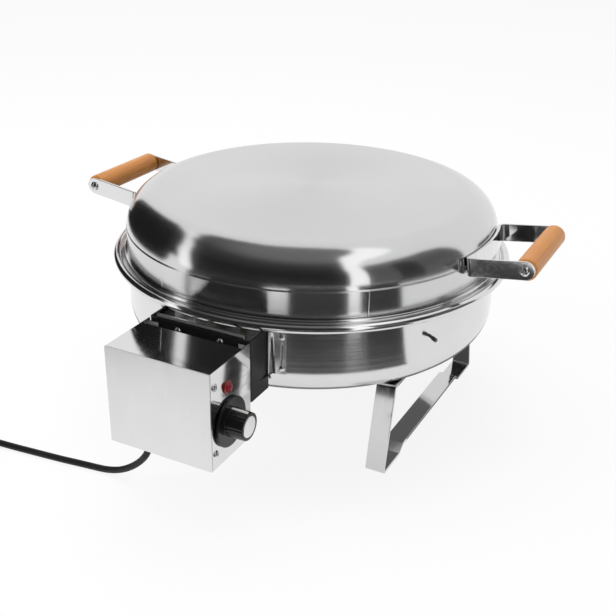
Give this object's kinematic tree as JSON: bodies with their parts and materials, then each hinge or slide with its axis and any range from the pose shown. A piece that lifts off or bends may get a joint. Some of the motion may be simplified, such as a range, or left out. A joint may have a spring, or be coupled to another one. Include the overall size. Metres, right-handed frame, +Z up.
{
  "type": "electric grill",
  "caption": "Round electric grill with a lift-off domed lid, wooden side grips, strip legs, and a control box with knob and lamp hung on the front.",
  "frame": {"origin": "on the table under the middle of the object without its cord", "axes": "+X towards the right grip, -Y towards the control box, +Z up"},
  "size_m": [0.5792, 0.6357, 0.2402],
  "materials": {
    "polished_steel": "mirror-polished stainless sheet",
    "brushed_lid": "stainless sheet, fine brushed top",
    "brushed_steel": "fine brushed stainless sheet",
    "strip_steel": "satin stainless strip",
    "zinc_steel": "bright zinc plate",
    "rivet_aluminium": "satin aluminium",
    "element_sheath": "dark heat-tinted sheath",
    "brass": "turned brass",
    "black_paint": "semi-matt black paint",
    "ivory_plastic": "moulded, matt",
    "white_plastic": "moulded, matt",
    "red_lens": "clear red, glossy",
    "black_rubber": "moulded, matt",
    "dark_peg": "dark, satin",
    "black_plastic": "moulded, satin black",
    "cap_silver": "pale spun disc",
    "grate_wire": "plated wire",
    "grip_wood": "oiled wood",
    "cord_black": "matt sheath",
    "pin_metal": "nickel plate"
  },
  "bodies": {
    "base": {"pan": "polished_steel", "pan_rim": "polished_steel", "left_leg": "strip_steel", "right_leg": "strip_steel", "leg_bolts": "zinc_steel", "leg_nuts": "zinc_steel", "heating_element": "element_sheath", "element_clips": "strip_steel", "element_bushings": "brass", "bushing_nuts": "brass", "wall_frame": "polished_steel", "frame_rivets": "rivet_aluminium", "mounting_bracket": "black_paint", "bracket_screws": "zinc_steel", "bracket_nuts": "zinc_steel", "control_housing": "polished_steel", "housing_screws": "zinc_steel", "front_panel": "brushed_steel", "panel_screws": "zinc_steel", "thermostat": "ivory_plastic", "terminal_block": "white_plastic", "lamp_body": "white_plastic", "lamp_lens": "red_lens", "cord_gland": "black_rubber", "side_peg": "dark_peg", "peg_nut": "zinc_steel", "mains_cord": "cord_black", "cord_coil": "cord_black", "cord_tie": "black_rubber", "cord_tail": "cord_black", "plug": "black_rubber", "plug_pins": "pin_metal"},
    "control_knob": {"thermostat_spindle": "zinc_steel", "knob": "black_plastic", "knob_cap": "cap_silver"},
    "tray": {"drip_tray": "strip_steel"},
    "grill_grate": {"grate": "grate_wire"},
    "cover": {"lid": "brushed_lid", "left_handle": "polished_steel", "right_handle": "polished_steel", "left_grip": "grip_wood", "right_grip": "grip_wood", "grip_screws": "zinc_steel", "handle_nuts": "zinc_steel"}
  },
  "joints": [
    {"name": "lid_lift", "type": "slide", "parent": "base", "child": "cover", "axis": [0, 0, 1], "range_m": [0, 0.2]},
    {"name": "knob_turn", "type": "hinge", "parent": "base", "child": "control_knob", "pos_m": [0.0538, -0.2199, 0.1055], "axis": [-1, 0, 0], "range_deg": [0, 270]},
    {"name": "tray_lift", "type": "slide", "parent": "base", "child": "tray", "axis": [0, 0, 1], "range_m": [0, 0.02]},
    {"name": "grate_lift", "type": "slide", "parent": "tray", "child": "grill_grate", "axis": [0, 0, 1], "range_m": [0, 0.02]}
  ]
}
